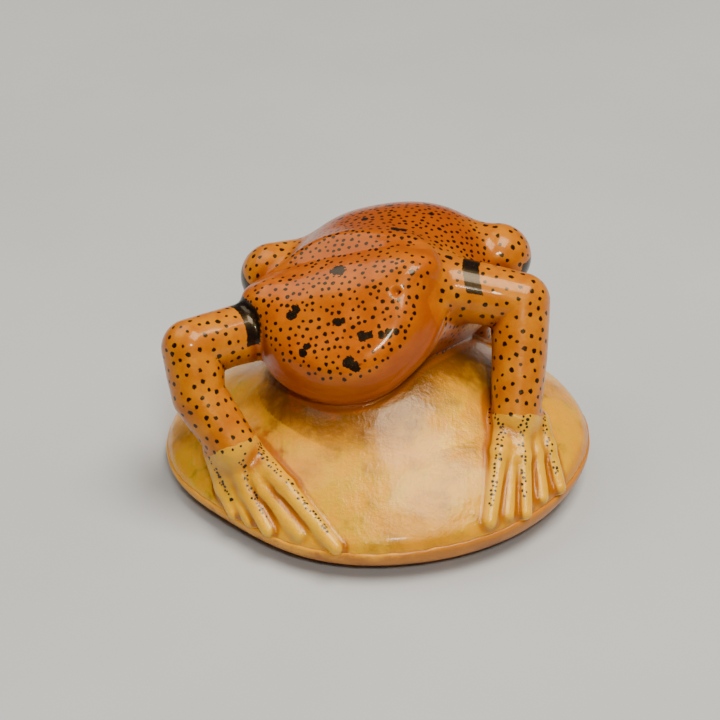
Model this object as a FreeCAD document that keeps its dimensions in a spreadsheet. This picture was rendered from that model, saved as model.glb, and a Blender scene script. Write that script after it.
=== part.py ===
"""Carved frog sitting on the nut that it was cut from.

Millimetres, +Z up. The origin is the middle of the ground foot that the nut stands on, the frog
faces -Y, and its own left side is +X. Every driving dimension is a cell of the sheet Dims. The limbs
run between points that are themselves expressions on those cells, so a foot stays on the nut and a
shoulder stays in the trunk when a size changes. The real thing is one carving, so each region is
trimmed by those before it and meets them face to face, with no gap and no overlap.
"""

import FreeCAD
import Part
import math
import os
import Sketcher
from FreeCAD import Placement, Rotation, Vector

# ---------------------------------------------------------------- driving dimensions

NUT = {
    "nut_width": 50.0,
    "nut_length": 44.0,
    "rim_height": 4.4,  # sharp edge between the carved top and the rounded underside
    "dome_rise": 8.4,  # carved top above the rim
    "dome_spread": 1.3,  # top's ellipsoid over the nut's outline: larger is flatter
    "side_bulge": 1.004,  # underside's ellipsoid over the nut's outline
    "foot_width": 30.0,
    "skin_thickness": 0.6,
    "mound_width": 24.0,
    "mound_length": 27.0,
    "mound_depth": 14.0,
    "mound_lift": 3.4,  # top of the mound above the top of the dome
    "mound_back": 4.0,
}

TRUNK = {
    "torso_width": 22.4,
    "torso_length": 25.0,
    "torso_depth": 18.0,
    "torso_lift": 6.4,  # centre above the top of the dome
    "torso_back": 9.0,
    "torso_side": 1.2,
    "torso_turn": -15.0,
    "torso_tilt": 8.0,
}

HEAD = {
    "head_width": 23.0,
    "cheek_radius": 4.4,
    "snout_radius": 7.4,
    "snout_reach": 12.0,
    "cheek_back": 1.5,
    "head_depth": 7.4,
    "head_round": 3.1,
    "mouth_drop": 1.2,  # mouth line below the head's middle level
    "head_side": -4.6,  # head's middle from the trunk's
    "head_ahead": 8.5,
    "head_up": 2.7,
    "head_turn": 8.0,
    "head_droop": 36.0,
    "head_tilt": 16.0,
    "eye_radius": 2.5,
    "eye_spread": 17.0,
    "eye_stand": 0.9,  # how far an eye stands out of the head
}

LIMBS = {
    "shoulder_radius": 3.5,
    "elbow_radius": 3.0,
    "wrist_radius": 2.7,
    "palm_radius": 2.0,
    "hip_radius": 4.4,
    "knee_radius": 3.8,
    "ankle_radius": 2.4,
    "toe_root_radius": 1.4,
    "toe_tip_radius": 0.9,
    "wrist_lift": 1.7,  # wrist's centre above the nut
    "ankle_lift": 2.2,
    "palm_lift": 0.7,
    "palm_reach": 0.3,  # share of the way from the wrist to the toe tips
    "toe_lift": 0.3,
    "shoulder_inset": 4.5,
    "hip_inset": 6.0,
    "hip_behind": 5.0,
    "hip_drop": 2.5,
    "toe_inset": 0.9,
}

# Places that differ from side to side: this is a hand carving. An elbow is counted from its
# shoulder and a knee from its hip. Wrists, ankles and toes stand on the nut, each at an angle
# round it and a distance in from its edge.
SIDES = {
    "left": {
        "shoulder_ahead": 6.0,
        "shoulder_rise": 3.3,
        "elbow_out": 8.5,
        "elbow_ahead": 1.0,
        "elbow_up": -1.2,
        "wrist_angle": -24.8,
        "wrist_inset": 7.7,
        "knee_out": 8.4,
        "knee_ahead": 2.0,
        "knee_up": 5.4,
        "ankle_angle": 56.0,
        "ankle_inset": 5.0,
        "hand_toe_angle": (-59.7, -48.5, -28.0),
        "foot_toe_angle": (72.0, 59.0, 47.0),
    },
    "right": {
        "shoulder_ahead": 3.0,
        "shoulder_rise": -1.7,
        "elbow_out": 15.3,
        "elbow_ahead": 10.0,
        "elbow_up": 1.9,
        "wrist_angle": -143.5,
        "wrist_inset": 5.2,
        "knee_out": 7.9,
        "knee_ahead": 4.0,
        "knee_up": 3.1,
        "ankle_angle": 126.0,
        "ankle_inset": 5.0,
        "hand_toe_angle": (-100.9, -121.3, -133.5),
        "foot_toe_angle": (110.0, 122.0, 134.0),
    },
}
SIGN = {"left": 1, "right": -1}

doc = FreeCAD.newDocument("CarvedFrog")
sheet = doc.addObject("Spreadsheet::Sheet", "Dims")


def fill_sheet():
    """One named cell for each driving dimension, in column B beside its name."""
    cells = {**NUT, **TRUNK, **HEAD, **LIMBS}
    for side, places in SIDES.items():
        for name, place in places.items():
            values = place if isinstance(place, tuple) else (place,)
            for number, value in enumerate(values, 1):
                suffix = f"_{number}" if isinstance(place, tuple) else ""
                cells[f"{side}_{name}{suffix}"] = value
    for row, (name, value) in enumerate(cells.items(), 1):
        sheet.set(f"A{row}", name)
        sheet.set(f"B{row}", str(value))
        sheet.setAlias(f"B{row}", name)
    doc.recompute()


def value_of(expression):
    """The number that an expression on the sheet's cells stands for."""
    found = sheet.evalExpression(str(expression))
    return float(getattr(found, "Value", found))


def bind(thing, **expressions):
    """Binds each named property of an object to an expression on the sheet."""
    for name, expression in expressions.items():
        thing.setExpression(name.replace("__", "."), expression)
    return thing


def put_at(thing, point, rotation=None):
    """Places an object at a point whose three coordinates are expressions."""
    thing.Placement = Placement(Vector(*map(value_of, point)), rotation or Rotation())
    for axis, expression in zip("xyz", point):
        thing.setExpression(f"Placement.Base.{axis}", expression)
    return thing


def solid_of(kind, name, **expressions):
    """A Part primitive with its sizes bound to the sheet."""
    return bind(doc.addObject(kind, name), **expressions)


# ---------------------------------------------------------------- points, as expressions

half_x = "Dims.nut_width / 2"
half_y = "Dims.nut_length / 2"
rim_share = "sqrt(1 - 1 / Dims.dome_spread ^ 2)"  # dome's height at the rim, of its full height
dome_radius = f"(Dims.dome_rise / (1 - {rim_share}))"
dome_middle = f"(Dims.rim_height + Dims.dome_rise - {dome_radius})"
dome_top = "(Dims.rim_height + Dims.dome_rise)"


def ground(x, y):
    """Height of the carved top of the nut over a point in plan."""
    across = f"({x}) / ({half_x} * Dims.dome_spread)"
    along = f"({y}) / ({half_y} * Dims.dome_spread)"
    return f"({dome_middle} + {dome_radius} * sqrt(1 - ({across}) ^ 2 - ({along}) ^ 2))"


def on_nut(angle, inset, lift):
    """A point over the nut, at an angle round it and a distance in from its edge."""
    x = f"({half_x} - {inset}) * cos({angle} * 1 deg)"
    y = f"({half_y} - {inset}) * sin({angle} * 1 deg)"
    return (x, y, f"{ground(x, y)} + {lift}")


def between(start, end, share):
    """The point that lies a share of the way from start to end."""
    return tuple(f"({a}) + ({share}) * (({b}) - ({a}))" for a, b in zip(start, end))


def distance(start, end):
    """The length from start to end, as one expression."""
    squares = (f"(({a}) - ({b})) ^ 2" for a, b in zip(start, end))
    return f"sqrt({' + '.join(squares)})"


torso_middle = ("Dims.torso_side", "Dims.torso_back", f"{dome_top} + Dims.torso_lift")
head_middle = (
    f"{torso_middle[0]} + Dims.head_side",
    f"{torso_middle[1]} - Dims.head_ahead",
    f"{torso_middle[2]} + Dims.head_up",
)


def limb_points(side):
    """Shoulder, elbow, wrist, hip, knee and ankle of one side."""
    out = SIGN[side]
    middle_x, middle_y, middle_z = torso_middle
    shoulder = (
        f"{middle_x} + {out} * (Dims.torso_width / 2 - Dims.shoulder_inset)",
        f"{middle_y} - Dims.{side}_shoulder_ahead",
        f"{middle_z} + Dims.{side}_shoulder_rise",
    )
    elbow = (
        f"{shoulder[0]} + {out} * Dims.{side}_elbow_out",
        f"{shoulder[1]} - Dims.{side}_elbow_ahead",
        f"{shoulder[2]} + Dims.{side}_elbow_up",
    )
    hip = (
        f"{middle_x} + {out} * (Dims.torso_width / 2 - Dims.hip_inset)",
        f"{middle_y} + Dims.hip_behind",
        f"{middle_z} - Dims.hip_drop",
    )
    knee = (
        f"{hip[0]} + {out} * Dims.{side}_knee_out",
        f"{hip[1]} - Dims.{side}_knee_ahead",
        f"{hip[2]} + Dims.{side}_knee_up",
    )
    wrist = on_nut(f"Dims.{side}_wrist_angle", f"Dims.{side}_wrist_inset", "Dims.wrist_lift")
    ankle = on_nut(f"Dims.{side}_ankle_angle", f"Dims.{side}_ankle_inset", "Dims.ankle_lift")
    return {
        "shoulder": shoulder,
        "elbow": elbow,
        "wrist": wrist,
        "hip": hip,
        "knee": knee,
        "ankle": ankle,
    }


# ---------------------------------------------------------------- makers of blanks


def sketch_on(body, role, name):
    """A sketch attached to one of the body's own origin planes."""
    sketch = body.newObject("Sketcher::SketchObject", name)
    plane = next(f for f in body.Origin.OriginFeatures if f.Role == role)
    sketch.AttachmentSupport = [(plane, "")]
    sketch.MapMode = "FlatFace"
    return sketch


def capsule(name, start, end, start_radius, end_radius):
    """A tapered rod with round ends, turned about its own axis, from start to end."""
    body = doc.addObject("PartDesign::Body", name)
    sketch = sketch_on(body, "XZ_Plane", f"{name}_outline")
    length, big, small = map(value_of, (distance(start, end), start_radius, end_radius))
    lean = math.asin((big - small) / length)  # angle of the side that touches both round ends
    side = Vector(math.cos(lean), math.sin(lean), 0)
    top = Vector(0, length, 0)
    circle_start = Part.Circle(Vector(0, 0, 0), Vector(0, 0, 1), big)
    circle_end = Part.Circle(top, Vector(0, 0, 1), small)
    arc_start = sketch.addGeometry(Part.ArcOfCircle(circle_start, -math.pi / 2, lean))
    line = sketch.addGeometry(Part.LineSegment(side * big, top + side * small))
    arc_end = sketch.addGeometry(Part.ArcOfCircle(circle_end, lean, math.pi / 2))
    spine = sketch.addGeometry(
        Part.LineSegment(Vector(0, length + small, 0), Vector(0, -big, 0))
    )
    rules = [
        ("Coincident", arc_start, 3, -1, 1),
        ("PointOnObject", arc_end, 3, -2),
        ("PointOnObject", arc_start, 1, -2),
        ("PointOnObject", arc_end, 2, -2),
        ("Tangent", arc_start, 2, line, 1),
        ("Tangent", line, 2, arc_end, 1),
        ("Coincident", arc_end, 2, spine, 1),
        ("Coincident", spine, 2, arc_start, 1),
    ]
    for rule in rules:
        sketch.addConstraint(Sketcher.Constraint(*rule))
    sizes = [
        ("start_round", ("Radius", arc_start, big), start_radius),
        ("end_round", ("Radius", arc_end, small), end_radius),
        ("reach", ("DistanceY", -1, 1, arc_end, 3, length), distance(start, end)),
    ]
    for label, rule, expression in sizes:
        index = sketch.addConstraint(Sketcher.Constraint(*rule))
        sketch.renameConstraint(index, label)
        sketch.setExpression(f"Constraints.{label}", expression)
    turned = body.newObject("PartDesign::Revolution", f"{name}_turned")
    turned.Profile = sketch
    turned.ReferenceAxis = (sketch, ["V_Axis"])
    turned.Angle = 360
    along = Vector(*map(value_of, end)) - Vector(*map(value_of, start))
    return put_at(body, start, Rotation(Vector(0, 0, 1), along))


def fused(name, blanks):
    """Several blanks that overlap, joined into one."""
    joined = doc.addObject("Part::MultiFuse", name)
    joined.Shapes = blanks
    return joined


def common(name, blanks):
    """What several blanks share."""
    shared = doc.addObject("Part::MultiCommon", name)
    shared.Shapes = blanks
    return shared


def cut(name, base, tool):
    """The base without the tool."""
    left = doc.addObject("Part::Cut", name)
    left.Base = base
    left.Tool = tool
    return left


# ---------------------------------------------------------------- the nut


rim_slope = "sqrt(1 - 1 / Dims.side_bulge ^ 2)"  # rim's depth below the widest level, as a share
foot_slope = "sqrt(1 - (Dims.foot_width / (Dims.side_bulge * Dims.nut_width)) ^ 2)"
belly_radius = f"(Dims.rim_height / ({foot_slope} - {rim_slope}))"
widest_level = f"({belly_radius} * {foot_slope})"


def block_above(name, level):
    """A box that holds everything above a level."""
    block = solid_of(
        "Part::Box",
        name,
        Length="2 * Dims.nut_width",
        Width="2 * Dims.nut_length",
        Height="2 * Dims.nut_width",
    )
    return put_at(block, ("-Dims.nut_width", "-Dims.nut_length", level))


def underside(name, thickness, upper_half):
    """The nut's rounded underside, taken in by a thickness and open above its widest level."""
    belly = solid_of(
        "Part::Ellipsoid",
        f"{name}_belly",
        Radius1=f"{belly_radius} - {thickness}",
        Radius2=f"{half_x} * Dims.side_bulge - {thickness}",
        Radius3=f"{half_y} * Dims.side_bulge - {thickness}",
    )
    put_at(belly, ("0", "0", widest_level))
    return fused(name, [belly, upper_half])


def nut_blanks():
    """The nut inside its skin with the mound on it, and the skin round its side."""
    above_floor = block_above("above_floor", "0")
    upper_half = block_above("upper_half", widest_level)
    dome = solid_of(
        "Part::Ellipsoid",
        "dome",
        Radius1=dome_radius,
        Radius2=f"{half_x} * Dims.dome_spread",
        Radius3=f"{half_y} * Dims.dome_spread",
    )
    put_at(dome, ("0", "0", dome_middle))
    mound = solid_of(
        "Part::Ellipsoid",
        "mound",
        Radius1="Dims.mound_depth / 2",
        Radius2="Dims.mound_width / 2",
        Radius3="Dims.mound_length / 2",
    )
    mound_middle = f"{dome_top} + Dims.mound_lift - Dims.mound_depth / 2"
    put_at(mound, ("0", "Dims.mound_back", mound_middle))
    outer = underside("outer_side", "0", upper_half)
    inner = underside("inner_side", "Dims.skin_thickness", upper_half)
    lens = common("lens", [dome, outer, above_floor])
    inner_lens = common("inner_lens", [dome, inner, above_floor])
    kernel = fused("kernel", [inner_lens, mound])
    return kernel, cut("skin", lens, inner)


# ---------------------------------------------------------------- the frog


def turned(turn, tilt, droop="0"):
    """Turned in plan, tipped down at the front, then tilted up on the frog's left."""
    return (
        Rotation(Vector(0, 0, 1), value_of(f"Dims.{turn}"))
        * Rotation(Vector(1, 0, 0), value_of(droop))
        * Rotation(Vector(0, 1, 0), -value_of(f"Dims.{tilt}"))
    )


def head_rotation():
    return turned("head_turn", "head_tilt", "Dims.head_droop")


def torso_blank():
    """The trunk: one ellipsoid along Y."""
    trunk = solid_of(
        "Part::Ellipsoid",
        "trunk",
        Radius1="Dims.torso_depth / 2",
        Radius2="Dims.torso_width / 2",
        Radius3="Dims.torso_length / 2",
    )
    return put_at(trunk, torso_middle, turned("torso_turn", "torso_tilt"))


def head_blank():
    """A three-cornered plate with round corners, snout to -Y, filleted above and below."""
    body = doc.addObject("PartDesign::Body", "skull")
    sketch = sketch_on(body, "XY_Plane", "skull_outline")
    cheek, snout = value_of("Dims.cheek_radius"), value_of("Dims.snout_radius")
    cheek_x = value_of("Dims.head_width / 2 - Dims.cheek_radius")
    cheek_y = value_of("Dims.cheek_back")
    snout_y = -value_of("Dims.snout_reach - Dims.snout_radius")
    apart = math.hypot(cheek_x, cheek_y - snout_y)
    heading = math.atan2(cheek_y - snout_y, cheek_x)
    side = heading - math.pi / 2 + math.asin((snout - cheek) / apart)  # where the jaw line touches
    up = Vector(0, 0, 1)

    def corner(x, y, radius, begin, end):
        circle = Part.Circle(Vector(x, y, 0), up, radius)
        return sketch.addGeometry(Part.ArcOfCircle(circle, begin, end))

    def on_corner(x, y, radius, angle):
        return Vector(x + radius * math.cos(angle), y + radius * math.sin(angle), 0)

    arc_snout = corner(0, snout_y, snout, math.pi - side, 2 * math.pi + side)
    arc_left = corner(cheek_x, cheek_y, cheek, side, math.pi / 2)
    arc_right = corner(-cheek_x, cheek_y, cheek, math.pi / 2, math.pi - side)
    jaw_left = sketch.addGeometry(
        Part.LineSegment(
            on_corner(0, snout_y, snout, side), on_corner(cheek_x, cheek_y, cheek, side)
        )
    )
    nape = sketch.addGeometry(
        Part.LineSegment(
            Vector(cheek_x, cheek_y + cheek, 0), Vector(-cheek_x, cheek_y + cheek, 0)
        )
    )
    jaw_right = sketch.addGeometry(
        Part.LineSegment(
            on_corner(-cheek_x, cheek_y, cheek, math.pi - side),
            on_corner(0, snout_y, snout, math.pi - side),
        )
    )
    rules = [
        ("PointOnObject", arc_snout, 3, -2),
        ("Symmetric", arc_left, 3, arc_right, 3, -2),
        ("Equal", arc_left, arc_right),
        ("Tangent", arc_snout, 2, jaw_left, 1),
        ("Tangent", jaw_left, 2, arc_left, 1),
        ("Tangent", arc_left, 2, nape, 1),
        ("Tangent", nape, 2, arc_right, 1),
        ("Tangent", arc_right, 2, jaw_right, 1),
        ("Tangent", jaw_right, 2, arc_snout, 1),
    ]
    for rule in rules:
        sketch.addConstraint(Sketcher.Constraint(*rule))
    sizes = [
        ("snout_round", ("Radius", arc_snout, snout), "Dims.snout_radius"),
        ("cheek_round", ("Radius", arc_left, cheek), "Dims.cheek_radius"),
        (
            "cheek_out",
            ("DistanceX", -1, 1, arc_left, 3, cheek_x),
            "Dims.head_width / 2 - Dims.cheek_radius",
        ),
        ("cheek_behind", ("DistanceY", -1, 1, arc_left, 3, cheek_y), "Dims.cheek_back"),
        (
            "snout_ahead",
            ("DistanceY", arc_snout, 3, -1, 1, -snout_y),
            "Dims.snout_reach - Dims.snout_radius",
        ),
    ]
    for label, rule, expression in sizes:
        index = sketch.addConstraint(Sketcher.Constraint(*rule))
        sketch.renameConstraint(index, label)
        sketch.setExpression(f"Constraints.{label}", expression)
    plate = body.newObject("PartDesign::Pad", "skull_plate")
    plate.Profile = sketch
    plate.Midplane = True
    bind(plate, Length="Dims.head_depth")
    doc.recompute()
    rounded = body.newObject("PartDesign::Fillet", "skull_rounded")
    rounded.Base = (plate, ["Face7", "Face8"])  # the plate's two flat faces
    bind(rounded, Radius="Dims.head_round")
    return put_at(body, head_middle, head_rotation())


def split_at_mouth(skull):
    """The head above its mouth line, and the lower jaw below it."""
    below_mouth = solid_of(
        "Part::Box",
        "below_mouth",
        Length="2 * Dims.head_width",
        Width="2 * Dims.head_width",
        Height="Dims.head_depth",
    )
    corner = Vector(
        -value_of("Dims.head_width"),
        -value_of("Dims.head_width"),
        -value_of("Dims.mouth_drop + Dims.head_depth"),
    )
    from_middle = head_rotation().multVec(corner)
    place = [f"{a} + {b}" for a, b in zip(head_middle, from_middle)]
    put_at(below_mouth, place, head_rotation())
    return cut("head_blank", skull, below_mouth), common("jaw_blank", [skull, below_mouth])


def eye_blank(side):
    """A round swelling at one upper corner of the head."""
    from_middle = head_rotation().multVec(
        Vector(
            SIGN[side] * value_of("Dims.eye_spread / 2"),
            value_of("Dims.cheek_back"),
            value_of("Dims.head_depth / 2 - Dims.eye_radius + Dims.eye_stand"),
        )
    )
    eye = solid_of("Part::Sphere", f"{side}_eye_ball", Radius="Dims.eye_radius")
    return put_at(eye, [f"{a} + {b}" for a, b in zip(head_middle, from_middle)])


def paw_blank(name, side, joint, joint_radius, wrist):
    """Palm or sole, and three toes that fan out over the nut to its edge."""
    tips = [
        on_nut(f"Dims.{side}_{joint}_toe_angle_{n}", "Dims.toe_inset", "Dims.toe_lift")
        for n in (1, 2, 3)
    ]
    flat = between(wrist, tips[1], "Dims.palm_reach")
    knuckle = (flat[0], flat[1], f"{ground(flat[0], flat[1])} + Dims.palm_lift")
    pieces = [capsule(f"{name}_palm", wrist, knuckle, joint_radius, "Dims.palm_radius")]
    for number, tip in enumerate(tips, 1):
        toe = capsule(
            f"{name}_toe_{number}", knuckle, tip, "Dims.toe_root_radius", "Dims.toe_tip_radius"
        )
        pieces.append(toe)
    return fused(f"{name}_blank", pieces)


def frog_blanks():
    """Every region of the frog before trimming, in the order in which they trim each other."""
    head, jaw = split_at_mouth(head_blank())
    blanks = [("head", head), ("lower_jaw", jaw), ("torso", torso_blank())]
    blanks += [(f"{side}_eye", eye_blank(side)) for side in SIGN]
    for side in SIGN:
        at = limb_points(side)
        segments = [
            ("upper_arm", "shoulder", "elbow"),
            ("forearm", "elbow", "wrist"),
            ("thigh", "hip", "knee"),
            ("shin", "knee", "ankle"),
        ]
        for segment, start, end in segments:
            blank = capsule(
                f"{side}_{segment}_rod",
                at[start],
                at[end],
                f"Dims.{start}_radius",
                f"Dims.{end}_radius",
            )
            blanks.append((f"{side}_{segment}", blank))
        hand = paw_blank(f"{side}_hand", side, "hand", "Dims.wrist_radius", at["wrist"])
        foot = paw_blank(f"{side}_foot", side, "foot", "Dims.ankle_radius", at["ankle"])
        blanks += [(f"{side}_hand", hand), (f"{side}_foot", foot)]
    return blanks


# ---------------------------------------------------------------- trimming and writing


def trimmed(node, blank, earlier):
    """The blank without every earlier region that reaches into it."""
    left = blank
    for name, other in earlier:
        if left.Shape.BoundBox.intersect(other.Shape.BoundBox):
            left = cut(f"{node}_less_{name}", left, other)
            doc.recompute()
    left.Label = node
    return left


def build():
    fill_sheet()
    kernel, skin = nut_blanks()
    kernel.Label = "nut_kernel"
    skin.Label = "outer_skin"
    doc.recompute()
    nodes, earlier = [kernel, skin], [("kernel", kernel), ("skin", skin)]
    blanks = frog_blanks()
    doc.recompute()
    for name, blank in blanks:
        nodes.append(trimmed(name, blank, earlier))
        earlier.append((name, blank))
    return nodes


def check(nodes):
    """Stops before anything is written if an object failed or a region isn't one sound solid."""
    doc.recompute()
    for thing in doc.Objects:
        bad = {"Invalid", "Error"} & set(thing.State)
        if bad:
            raise RuntimeError(f"{thing.Label} is {bad}")
    for node in nodes:
        shape = node.Shape
        if shape.isNull() or not shape.isValid() or len(shape.Solids) != 1:
            raise RuntimeError(f"{node.Label} isn't one valid solid: {len(shape.Solids)} found")


nodes = build()
check(nodes)
os.makedirs("parts", exist_ok=True)
for node in nodes:
    node.Shape.exportStep(os.path.join("parts", f"{node.Label}.step"))
print(f"{len(nodes)} regions written")
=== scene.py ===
import bpy
import math
import numpy as np
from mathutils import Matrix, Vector


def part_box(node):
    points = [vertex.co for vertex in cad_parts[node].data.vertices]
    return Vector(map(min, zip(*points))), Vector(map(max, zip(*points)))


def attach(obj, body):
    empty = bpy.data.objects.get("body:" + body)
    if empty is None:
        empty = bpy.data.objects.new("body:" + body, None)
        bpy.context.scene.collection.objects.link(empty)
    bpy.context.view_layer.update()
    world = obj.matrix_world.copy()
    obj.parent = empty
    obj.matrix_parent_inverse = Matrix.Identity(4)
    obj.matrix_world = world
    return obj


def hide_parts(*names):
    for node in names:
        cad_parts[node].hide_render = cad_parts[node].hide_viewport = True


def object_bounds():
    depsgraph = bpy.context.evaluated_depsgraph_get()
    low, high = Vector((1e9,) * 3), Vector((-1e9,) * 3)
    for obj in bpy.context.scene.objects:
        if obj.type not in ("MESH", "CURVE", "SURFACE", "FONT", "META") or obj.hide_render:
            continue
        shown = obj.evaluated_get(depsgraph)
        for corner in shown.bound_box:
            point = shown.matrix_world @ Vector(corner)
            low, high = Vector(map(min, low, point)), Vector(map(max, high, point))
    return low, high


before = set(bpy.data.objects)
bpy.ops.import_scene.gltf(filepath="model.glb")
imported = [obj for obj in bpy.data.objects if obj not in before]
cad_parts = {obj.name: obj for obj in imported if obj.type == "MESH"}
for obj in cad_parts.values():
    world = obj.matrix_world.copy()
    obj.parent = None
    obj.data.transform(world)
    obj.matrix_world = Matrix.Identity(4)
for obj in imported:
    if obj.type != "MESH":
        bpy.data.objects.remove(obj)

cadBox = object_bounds()
mm = 0.001  # lengths below are millimetres, meshes are metres

# ---- places, all worked out from the boxes of the CAD nodes


def spot(node, fx, fy, fz):
    # a place inside a node's box, each share running from its low corner to its high one
    low, high = (np.array(c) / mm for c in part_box(node))
    return low + np.array([fx, fy, fz]) * (high - low)


def turned(turn, droop, tilt):
    # axes of a form: tilted about Y, drooped about X, then turned about Z; columns are its own x, y, z
    a, b, c = (math.radians(v) for v in (turn, droop, -tilt))
    z = np.array([[math.cos(a), -math.sin(a), 0], [math.sin(a), math.cos(a), 0], [0, 0, 1]])
    x = np.array([[1, 0, 0], [0, math.cos(b), -math.sin(b)], [0, math.sin(b), math.cos(b)]])
    y = np.array([[math.cos(c), 0, math.sin(c)], [0, 1, 0], [-math.sin(c), 0, math.cos(c)]])
    return z @ x @ y


at = {
    "torso": spot("torso", 0.50, 0.48, 0.45),
    "head": spot("head", 0.51, 0.65, 0.53),
    "leftShoulder": spot("left_upper_arm", 0.07, 0.58, 0.55),
    "leftElbow": spot("left_forearm", 0.53, 0.82, 0.88),
    "leftWrist": spot("left_forearm", 0.42, 0.21, 0.16),
    "rightShoulder": spot("right_upper_arm", 1.10, 0.92, 0.39),
    "rightElbow": spot("right_forearm", 0.27, 0.83, 0.84),
    "rightWrist": spot("right_forearm", 0.74, 0.26, 0.17),
    "leftHip": spot("left_thigh", 0.18, 0.49, 0.57),
    "leftKnee": spot("left_shin", 0.58, 0.45, 0.95),
    "leftAnkle": spot("left_shin", 0.25, 0.70, 0.17),
    "rightHip": spot("right_thigh", 0.94, 0.60, 0.52),
    "rightKnee": spot("right_shin", 0.55, 0.35, 0.94),
    "rightAnkle": spot("right_shin", 0.57, 0.75, 0.19),
}
# inner toe first: its start, aside from the wrist or ankle in X and Y, then its tip in shares of the node's box
toeEnds = {
    "left_hand": (((-1.1, 0.3), (0.09, 0.08)), ((0.3, -0.3), (0.50, 0.20)), ((2.4, 0.6), (0.93, 0.50))),
    "right_hand": (((1.8, 0.2), (0.94, 0.03)), ((0.1, -0.5), (0.39, 0.26)), ((-1.9, 0.3), (0.05, 0.48))),
    "left_foot": (((-1.2, 0.4), (0.08, 0.88)), ((0, 0), (0.54, 0.67)), ((1.2, -0.4), (0.90, 0.37))),
    "right_foot": (((1.2, 0.4), (0.91, 0.88)), ((0, 0), (0.47, 0.68)), ((-1.2, -0.4), (0.10, 0.37))),
}

nutHigh = np.array(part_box("outer_skin")[1]) / mm
nut = {
    "halfX": nutHigh[0],
    "halfY": nutHigh[1],
    "rim": 4.4,  # height of the edge
    "rise": 8.4,  # carved top over the edge
    "spread": 1.3,  # top's ellipsoid over the outline
    "bulge": 1.004,  # underside's ellipsoid over the outline
    "foot": 30.0,
    "skin": 0.6,
    "lean": 1.0,  # the edge is this much higher on the left and lower on the right
    "flat": 0.07,  # share taken off the outline where the knife flattened it
    "flatAngle": -137.0,
    "flatWide": 27.0,
    "full": 2.5,  # fullness of the underside's profile; 2 is a quarter ellipse
    "lip": 0.55,  # the skin stops this far under the edge
    "tight": 0.007,  # share that the whole outline is drawn in
    "waves": ((0.0036, 3, 0.6), (0.0024, 7, 2.0)),  # share, number round the edge, start
    "edgeRound": 1.1,
    "edgeIn": 0.1,  # the flesh's edge stands this far in from the outline
    "underIn": 0.7,  # and this much further in behind the skin
    "moundRound": np.array([12.0, 13.5, 7.0]),
    "moundMiddle": np.array([0.0, 4.0, 9.2]),
    "moundBlend": 5.0,
}
headForm = {
    "turn": 8.0, "droop": 36.0, "tilt": 16.0,
    "cheeks": ((6.4, 1.6, 4.3), (-7.9, 1.7, 3.6)),  # plan circles: x, y and radius
    "snout": (-0.3, -2.0, 9.0),
    "jowls": ((-3.6, -2.6, 6.9), (3.2, -2.6, 6.4), (-6.3, -0.5, 4.9)),
    "backFill": 0.9, "backDrop": 0.1,  # the bevel fades and the top bends down towards the back
    "deep": 7.0, "round": 3.0, "crown": 0.8, "crownSpread": 3.0, "bevel": (0.83, 0.56, 0.1), "soft": 1.5,
    "change": 1.2,  # height over which the rounded lower half turns into the bevelled upper one
    "mouth": -1.2, "mouthWide": 0.22, "mouthDeep": 0.16, "mouthBack": 3.0,
    "eye": 2.3, "eyes": ((7.4, 1.6, 1.5), (-8.3, 1.5, 1.5)), "eyeBlend": 1.6,
    "pit": (6.3, -1.0), "pitRound": 0.42, "pitDeep": 0.75, "eyePatch": 1.8,
}
torsoForm = {
    "turn": -15.0, "tilt": 3.0, "round": np.array([11.6, 12.2, 8.2]),
    "rump": (5.0, 3.2, -1.0), "rumpRound": np.array([8.6, 8.2, 8.2]), "rumpBlend": 3.0,
    "nape": 4.6, "napeBlend": 2.6, "napeGap": 3.0,
    "napes": (((4.2, 0.5, -2.3), (3.2, 5.0, -3.9)), ((-4.4, 0.5, -2.3), (-2.6, 5.0, -4.2))),
}
limb = {
    "shoulder": 3.7, "elbow": 3.25, "wrist": 2.75, "hip": 4.5, "knee": 3.9, "ankle": 2.4,
    "bows": {"left": (0.1, 0.3, 0.1), "right": (-1.5, 0.2, 0.1)}, "forearms": {"left": 3.15, "right": 3.05},
    "shinBow": 0.4, "shinBack": 0.3, "shin": 3.0,
    "toeHeel": 1.6, "toeRoot": 1.15, "toeTip": 0.8, "toeLift": -0.26, "toeReach": 0.985,
    "knuckle": 0.42, "knuckleLift": 0.3, "heelDrop": 0.25, "heelSlope": 0.4,
    "toeBlend": 0.5, "pawBlend": 0.45,
    "webHeel": 1.5, "webMiddle": 1.2, "web": 0.75, "webReach": 0.96, "webShare": 0.45, "webSink": (0.1, 0.5),
}
headAxes = turned(headForm["turn"], headForm["droop"], headForm["tilt"])
torsoAxes = turned(torsoForm["turn"], 0.0, torsoForm["tilt"])
melt = {  # how far apart in distance two forms still run into each other
    "cheeks": 1.5, "jowls": 1.0, "topEdge": 1.0, "nape": 3.8, "elbow": 1.8, "knee": 2.0, "wrist": 0.9,
    "shoulder": 0.9, "hip": 1.3, "nut": 0.5, "facet": 0.12, "foot": 0.1, "limb": 1.5,
}
trunkFloor = 10.5  # the head and trunk come nowhere lower

# ---- distances, every one worked out for a whole array of points at once


def roundCone(p, a, b, ra, rb):
    # exact distance to the hull of two balls of radii ra and rb at a and b; works in two or three axes
    ba = b - a
    l2 = ba @ ba
    dr = ra - rb
    a2 = l2 - dr * dr
    pa = p - a
    y = pa @ ba
    z = y - l2
    x2 = ((pa * l2 - y[:, None] * ba) ** 2).sum(1)
    y2, z2 = y * y * l2, z * z * l2
    k = np.sign(dr) * dr * dr * x2
    side = (np.sqrt(x2 * a2 / l2) + y * dr) / l2 - ra
    end = np.sqrt(x2 + z2) / l2 - rb
    start = np.sqrt(x2 + y2) / l2 - ra
    return np.where(np.sign(z) * a2 * z2 > k, end, np.where(np.sign(y) * a2 * y2 < k, start, side))


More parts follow.
